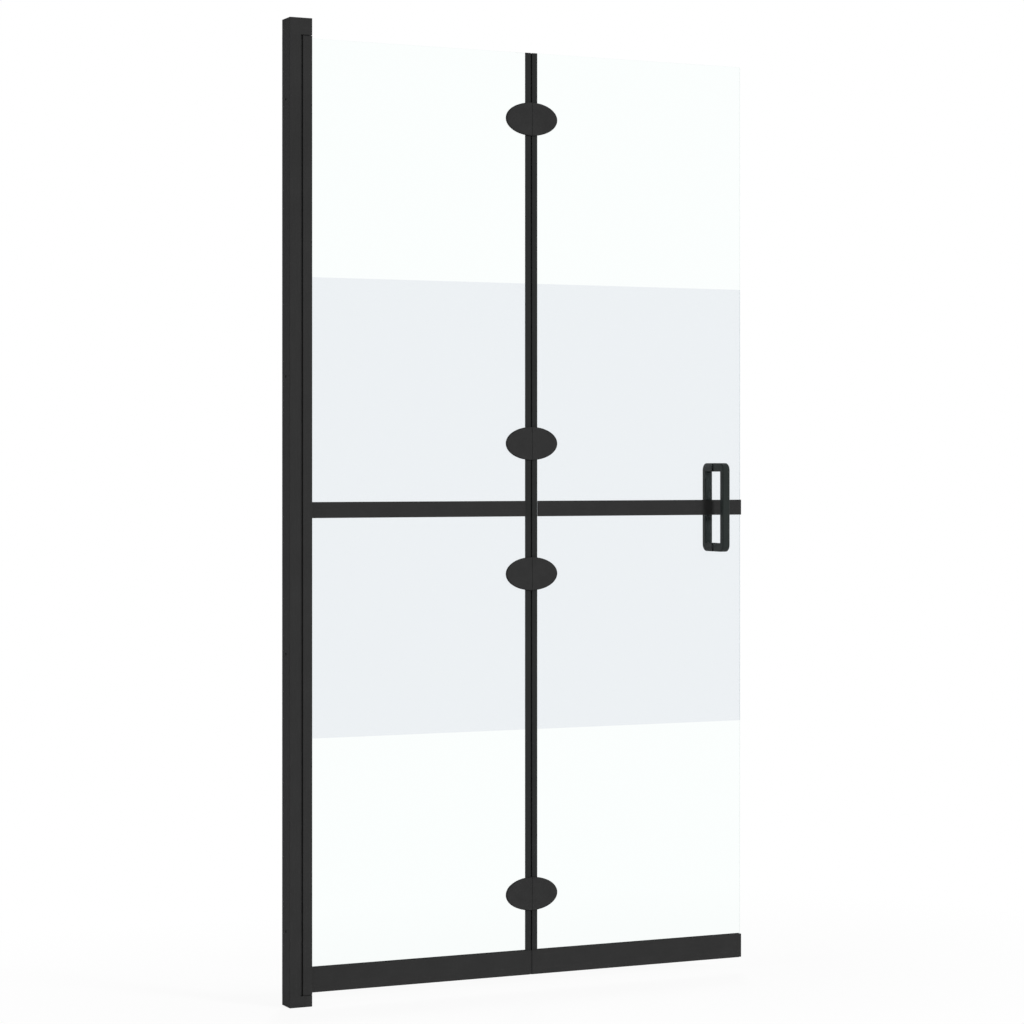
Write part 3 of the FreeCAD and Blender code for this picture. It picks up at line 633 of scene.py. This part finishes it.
def lathe(profile, centre, steps):
    """Mesh of a closed profile of radius and depth, turned about a line that runs along the depth."""
    mesh = bmesh.new()
    rounds = []
    for point in profile:
        places = ring(centre, point.x, steps)
        rounds.append([mesh.verts.new((place.x, point.y, place.y)) for place in places])
    for index, verts in enumerate(rounds):
        before = rounds[index - 1]
        for step in range(steps):
            mesh.faces.new((before[step - 1], before[step], verts[step], verts[step - 1]))
    return mesh


def joined(meshes):
    """One mesh from several."""
    whole = bmesh.new()
    for mesh in meshes:
        data = bpy.data.meshes.new("part")
        mesh.to_mesh(data)
        mesh.free()
        whole.from_mesh(data)
        bpy.data.meshes.remove(data)
    return whole


def set_piece(node, mesh, finish, scene):
    """Sets a soft piece in place of its CAD solid, on the same body."""
    bmesh.ops.remove_doubles(mesh, verts=mesh.verts, dist=WELD)
    bmesh.ops.beautify_fill(mesh, faces=mesh.faces, edges=mesh.edges)
    bmesh.ops.recalc_face_normals(mesh, faces=mesh.faces)
    data = bpy.data.meshes.new(f"soft_{node}")
    mesh.to_mesh(data)
    mesh.free()
    data.shade_smooth()
    data.set_sharp_from_angle(angle=scene.shower_trim.crease)
    data.materials.append(finish)
    piece = bpy.data.objects.new(f"soft_{node}", data)
    scene.collection.objects.link(piece)
    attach(piece, BODY_OF[node])
    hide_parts(node)


# Steps


class SHOWER_OT_profiles(bpy.types.Operator):
    """Coats the extruded profiles, the fold strips and the wall channel"""

    bl_idname = "shower.coat_profiles"
    bl_label = "Coat profiles"

    def execute(self, context):
        scene = context.scene
        coats, gloss = scene.shower_coats, scene.shower_gloss
        looks = (
            ("profile_coat", coats.black, gloss.coat),
            ("strip_coat", coats.strip, gloss.strip),
            ("channel_coat", coats.anodised, gloss.channel),
        )
        for slot, base, roughness in looks:
            for run in DRAWN_SCALE:
                nodes = [node for node in nodes_in(slot) if runs_along(node) == run]
                if nodes:
                    dress(nodes, powder_coat(f"{slot}_along_{run.lower()}", base, roughness, run, scene))
        return {"FINISHED"}


class SHOWER_OT_castings(bpy.types.Operator):
    """Coats the hinge plates, the hinge leaves and the bearing blocks"""

    bl_idname = "shower.coat_castings"
    bl_label = "Coat castings"

    def execute(self, context):
        scene = context.scene
        dress(nodes_in("hinge_coat", "block_coat"), cast_coat("cast_coat", scene.shower_coats.cast, scene))
        return {"FINISHED"}


class SHOWER_OT_handles(bpy.types.Operator):
    """Coats the two handles"""

    bl_idname = "shower.coat_handles"
    bl_label = "Coat handles"

    def execute(self, context):
        scene = context.scene
        dress(nodes_in("handle_coat"), satin_coat("satin_coat", scene.shower_coats.satin, scene))
        return {"FINISHED"}


class SHOWER_OT_glass(bpy.types.Operator):
    """Etches the band into the panes"""

    bl_idname = "shower.etch_glass"
    bl_label = "Etch glass"

    def execute(self, context):
        dress(nodes_in("tempered_glass"), etched_glass("etched_glass", context.scene.shower_glass))
        return {"FINISHED"}


class SHOWER_OT_plastics(bpy.types.Operator):
    """Finishes caps, plugs, bushes and sleeves"""

    bl_idname = "shower.finish_plastics"
    bl_label = "Finish plastics"

    def execute(self, context):
        scene = context.scene
        coats, grain, gloss = scene.shower_coats, scene.shower_grain, scene.shower_gloss
        black = moulded_plastic(
            "moulded_black", coats.moulding, grain.moulding, MOULDING_SPREAD, gloss.moulding_sheen, scene
        )
        pale = moulded_plastic(
            "acetal", coats.acetal, grain.acetal, ACETAL_SPREAD, gloss.acetal_sheen, scene
        )
        dress(nodes_in("moulded_black"), black)
        dress(nodes_in("bearing_plastic"), pale)
        return {"FINISHED"}


class SHOWER_OT_fasteners(bpy.types.Operator):
    """Finishes screws, pins and studs"""

    bl_idname = "shower.finish_fasteners"
    bl_label = "Finish fasteners"

    def execute(self, context):
        scene = context.scene
        dress(nodes_in("fastener_steel"), bright_steel("bright_steel", scene.shower_coats.steel, scene))
        return {"FINISHED"}


class SHOWER_OT_gaskets(bpy.types.Operator):
    """Makes the gaskets that grip the glass in the turning profile and in the rails"""

    bl_idname = "shower.make_gaskets"
    bl_label = "Make gaskets"

    def execute(self, context):
        scene = context.scene
        rubber = seal_rubber(scene)
        pane_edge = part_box("inner_glass")[0]
        low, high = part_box("glazing_gasket")
        section = self.channel(low.y, high.y, low.x, high.x, pane_edge.x, scene.shower_trim)
        turned = [Vector((point.y, point.x)) for point in section]
        set_piece("glazing_gasket", prism([turned], "Z", low.z, high.z), rubber, scene)
        for pane in PANES:
            low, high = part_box(f"{pane}_rail_gasket")
            section = self.channel(low.y, high.y, low.z, high.z, pane_edge.z, scene.shower_trim)
            set_piece(f"{pane}_rail_gasket", prism([section], "X", low.x, high.x), rubber, scene)
        return {"FINISHED"}

    def channel(self, front, back, floor, lip, glass_edge, trim):
        """U-shaped section round a glass edge, its lips rounded."""
        corners = [
            (front, floor, trim.nip),
            (front, lip, trim.lip),
            (GLASS_LOW.y, lip, trim.nip),
            (GLASS_LOW.y, glass_edge, trim.nip),
            (GLASS_HIGH.y, glass_edge, trim.nip),
            (GLASS_HIGH.y, lip, trim.nip),
            (back, lip, trim.lip),
            (back, floor, trim.nip),
        ]
        return soft_outline(corners)


class SHOWER_OT_seals(bpy.types.Operator):
    """Makes the drip seals under the rails and the hollow seal at the fold"""

    bl_idname = "shower.make_seals"
    bl_label = "Make seals"

    def execute(self, context):
        scene = context.scene
        trim = scene.shower_trim
        rubber = seal_rubber(scene)
        for pane in PANES:
            low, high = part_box(f"{pane}_rail_seal")
            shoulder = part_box(f"{pane}_rail")[0].z + trim.slot_floor
            section = self.drip_section(low, high, shoulder, trim)
            set_piece(f"{pane}_rail_seal", prism([section], "X", low.x, high.x), rubber, scene)
        low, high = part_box("fold_seal")
        bulb = prism(self.bulb_loops(low, high, trim), "Z", low.z, high.z)
        set_piece("fold_seal", bulb, rubber, scene)
        return {"FINISHED"}

    def drip_section(self, low, high, shoulder, trim):
        """Head in the rail's slot over a neck that ends in a rounded lip."""
        neck = trim.seal_neck / 2
        corners = [
            (low.y, high.z, trim.nip),
            (low.y, shoulder, trim.nip),
            (-neck, shoulder, trim.nip),
            (-neck, low.z, neck),
            (neck, low.z, neck),
            (neck, shoulder, trim.nip),
            (high.y, shoulder, trim.nip),
            (high.y, high.z, trim.nip),
        ]
        return soft_outline(corners)

    def bulb_loops(self, low, high, trim):
        """Half-round outline and the hollow inside it."""
        turns = [math.pi * (step / trim.round_steps - 0.5) for step in range(trim.round_steps + 1)]
        loops = []
        for wall in (0.0, trim.bulb_wall):
            deep = high.x - low.x - 2 * wall
            wide = (high.y - low.y) / 2 - wall
            places = [(low.x + wall + deep * math.cos(turn), wide * math.sin(turn)) for turn in turns]
            loops.append([Vector(place) for place in places])
        return loops


class SHOWER_OT_pads(bpy.types.Operator):
    """Makes the soft pads between the hinge plates and the glass"""

    bl_idname = "shower.make_pads"
    bl_label = "Make pads"

    def execute(self, context):
        scene = context.scene
        trim = scene.shower_trim
        levels = [middle(f"hinge_{number}_inner_plate").z for number in HINGES]
        fold = (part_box("hinge_1_inner_plate")[1].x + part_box("hinge_1_outer_plate")[0].x) / 2
        for pane, side in zip(PANES, (-1, 1)):
            low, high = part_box(f"{pane}_hinge_pads")
            near, far = sorted(abs(place - fold) for place in (low.x, high.x))
            rise = (high.z - levels[0]) / math.sqrt(1 - (near / far) ** 2)
            meshes = []
            for level in levels:
                centre = Vector((fold, level))
                loops = [self.half_oval(centre, side, near, far, rise, trim.round_steps)]
                loops += self.screw_holes(pane, level, levels[0], trim)
                meshes.append(prism(loops, "Y", low.y, GLASS_LOW.y, trim.pad_edge))
                meshes.append(prism(loops, "Y", GLASS_HIGH.y, high.y, trim.pad_edge))
            set_piece(f"{pane}_hinge_pads", joined(meshes), seal_rubber(scene), scene)
        return {"FINISHED"}

    def half_oval(self, centre, side, near, far, rise, steps):
        """Oval's part beyond a distance from the fold, on one side."""
        limit = math.acos(near / far)
        turns = [limit * (2 * step / steps - 1) for step in range(steps + 1)]
        return [centre + Vector((side * far * math.cos(turn), rise * math.sin(turn))) for turn in turns]

    def screw_holes(self, pane, level, top_level, trim):
        """Holes above and below the middle of a pad, as far from it as the screws of the top hinge."""
        low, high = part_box(f"{pane}_hinge_screws")
        offset = high.z - (high.x - low.x) / 2 - top_level
        places = [Vector(((low.x + high.x) / 2, level + sign * offset)) for sign in (-1, 1)]
        return [ring(place, trim.pad_hole, trim.round_steps // 2) for place in places]


class SHOWER_OT_washers(bpy.types.Operator):
    """Makes the soft washers under the handles, each pair joined by a sleeve in the glass"""

    bl_idname = "shower.make_washers"
    bl_label = "Make washers"

    def execute(self, context):
        scene = context.scene
        trim, grain = scene.shower_trim, scene.shower_grain
        low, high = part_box("handle_washers")
        radius = (high.x - low.x) / 2
        profile = self.spool(low.y, high.y, radius, trim)
        across = (low.x + high.x) / 2
        centres = [Vector((across, low.z + radius)), Vector((across, high.z - radius))]
        meshes = [lathe(profile, centre, trim.round_steps) for centre in centres]
        # This colour is partly grey rubber and partly painted light, lighter to lift the shade where the
        # handles and washers meet the glass.
        base = scene.shower_coats.washer
        rubber = matt_rubber("washer_rubber_lightened", base, grain.rubber, grain.rubber_depth, scene)
        set_piece("handle_washers", joined(meshes), rubber, scene)
        return {"FINISHED"}

    def spool(self, front, back, radius, trim):
        """Half section of two washers and the sleeve between them."""
        sleeve = trim.washer_bore + trim.sleeve_wall
        edge = trim.washer_edge
        corners = [
            (trim.washer_bore, front, edge / 2),
            (radius, front, edge),
            (radius, GLASS_LOW.y, edge),
            (sleeve, GLASS_LOW.y, edge / 4),
            (sleeve, GLASS_HIGH.y, edge / 4),
            (radius, GLASS_HIGH.y, edge),
            (radius, back, edge),
            (trim.washer_bore, back, edge / 2),
        ]
        return soft_outline(corners)


class SHOWER_OT_tapes(bpy.types.Operator):
    """Makes the foam tapes that hold the bars on the glass"""

    bl_idname = "shower.make_tapes"
    bl_label = "Make tapes"

    def execute(self, context):
        scene = context.scene
        trim, grain = scene.shower_trim, scene.shower_grain
        foam = matt_rubber("tape_foam", scene.shower_coats.foam, grain.foam, grain.foam_depth, scene)
        for pane in PANES:
            low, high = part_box(f"{pane}_bar_tape")
            ends = ((low.x, low.z), (high.x, low.z), (high.x, high.z), (low.x, high.z))
            outline = soft_outline([(*end, trim.tape_corner) for end in ends])
            tape = prism([outline], "Y", low.y, high.y, trim.pad_edge)
            set_piece(f"{pane}_bar_tape", tape, foam, scene)
        return {"FINISHED"}


class SHOWER_OT_stage(bpy.types.Operator):
    """Sets the floor, the light and the camera"""

    bl_idname = "shower.set_stage"
    bl_label = "Set stage"

    def execute(self, context):
        scene = context.scene
        stage = scene.shower_stage
        scene.view_settings.view_transform = "Standard"
        low, high = (Vector(corner) for corner in CAD_BOX)
        self.lay_floor(scene, stage, low, high)
        self.light_room(scene, stage)
        self.hang_lamps(scene, stage)
        self.place_camera(scene, stage, low, high)
        return {"FINISHED"}

    def seen(self, made):
        """1 for rays that show the background, straight, mirrored or through glass."""
        kinds = ("Is Camera Ray", "Is Glossy Ray", "Is Transmission Ray")
        camera, glossy, through = (made.node("ShaderNodeLightPath", {}, {}, kind) for kind in kinds)
        return (camera + glossy + through).held()

    def lay_floor(self, scene, stage, low, high):
        """Wide floor under the middle of the screen."""
        mesh = bmesh.new()
        bmesh.ops.create_grid(mesh, x_segments=1, y_segments=1, size=stage.floor_reach)
        data = bpy.data.meshes.new("floor")
        mesh.to_mesh(data)
        mesh.free()
        data.materials.append(self.floor_finish(stage, high.x - low.x))
        floor = bpy.data.objects.new("floor", data)
        floor.location = ((low.x + high.x) / 2, 0, low.z)
        scene.collection.objects.link(floor)

    def floor_finish(self, stage, width):
        """Pale floor that keeps the shadow near a screen of this width and is plain white further off."""
        made = new_finish("floor")
        beside = abs(made.part(made.place(), "X")) - width / 2
        beside = beside * (beside > 0)
        away = made.part(made.place(), "Y")
        apart = (beside * beside + away * away).root()
        faded = ((apart - stage.fade_start) / (stage.fade_end - stage.fade_start)).held()
        plain = made.node("ShaderNodeBsdfDiffuse", {}, {"Color": opaque(stage.floor)})
        white = made.node("ShaderNodeEmission", {}, {"Color": opaque(WHITE), "Strength": 1.0})
        glow = stage.glow + (1 - stage.glow) * faded
        return made.close(made.layer(glow * self.seen(made), plain, white))

    def light_room(self, scene, stage):
        """Faint even light, with plain white where the room itself is seen."""
        made = Finish(bpy.data.worlds.new("room"))
        room = made.node("ShaderNodeBackground", {}, {"Color": opaque(WHITE), "Strength": stage.room})
        white = made.node("ShaderNodeBackground", {}, {"Color": opaque(WHITE), "Strength": 1.0})
        scene.world = made.close(made.layer(self.seen(made), room, white))

    def hang_lamps(self, scene, stage):
        """Far, wide lamps, which light all of the screen alike and show in no mirror image."""
        lamps = (
            ("key", stage.key, stage.key_from),
            ("fill", stage.fill, stage.fill_from),
            ("side", stage.side, stage.side_from),
        )
        for name, energy, source in lamps:
            data = bpy.data.lights.new(name, "SUN")
            data.energy = energy
            data.angle = stage.lamp_width
            lamp = bpy.data.objects.new(name, data)
            lamp.rotation_euler = (-Vector(source)).to_track_quat("-Z", "Y").to_euler()
            lamp.visible_glossy = False
            scene.collection.objects.link(lamp)

    def place_camera(self, scene, stage, low, high):
        """Level camera, turned to the side and aimed at a place along the screen."""
        aim = Vector((low.x + stage.aim_share * (high.x - low.x), 0, stage.eye_height))
        ahead = Vector((math.sin(stage.turn), math.cos(stage.turn), 0))
        data = bpy.data.cameras.new("camera")
        data.lens = stage.lens
        data.shift_y = stage.rise
        camera = bpy.data.objects.new("camera", data)
        camera.location = aim - ahead * stage.distance
        camera.rotation_euler = ahead.to_track_quat("-Z", "Y").to_euler()
        scene.collection.objects.link(camera)
        scene.camera = camera


class SHOWER_PT_panel(bpy.types.Panel):
    """Settings and steps of the shower screen"""

    bl_idname = "SHOWER_PT_panel"
    bl_label = "Shower screen"
    bl_space_type = "VIEW_3D"
    bl_region_type = "UI"
    bl_category = "Shower screen"

    def draw(self, context):
        for name, kind in GROUPS.items():
            box = self.layout.box()
            for setting in kind.__annotations__:
                box.prop(getattr(context.scene, name), setting)
        for step in STEPS:
            self.layout.operator(step.bl_idname)


GROUPS = {
    "shower_coats": ShowerCoats,
    "shower_grain": ShowerGrain,
    "shower_gloss": ShowerGloss,
    "shower_glass": ShowerGlass,
    "shower_trim": ShowerTrim,
    "shower_stage": ShowerStage,
}
STEPS = (
    SHOWER_OT_profiles,
    SHOWER_OT_castings,
    SHOWER_OT_handles,
    SHOWER_OT_glass,
    SHOWER_OT_plastics,
    SHOWER_OT_fasteners,
    SHOWER_OT_gaskets,
    SHOWER_OT_seals,
    SHOWER_OT_pads,
    SHOWER_OT_washers,
    SHOWER_OT_tapes,
    SHOWER_OT_stage,
)


def register():
    for kind in (*GROUPS.values(), *STEPS, SHOWER_PT_panel):
        bpy.utils.register_class(kind)
    for name, kind in GROUPS.items():
        setattr(bpy.types.Scene, name, PointerProperty(type=kind))


def unregister():
    for name in GROUPS:
        delattr(bpy.types.Scene, name)
    for kind in (SHOWER_PT_panel, *reversed(STEPS), *GROUPS.values()):
        bpy.utils.unregister_class(kind)


def main():
    register()
    for step in STEPS:
        area, name = step.bl_idname.split(".")
        getattr(getattr(bpy.ops, area), name)()


if __name__ == "__main__":
    main()
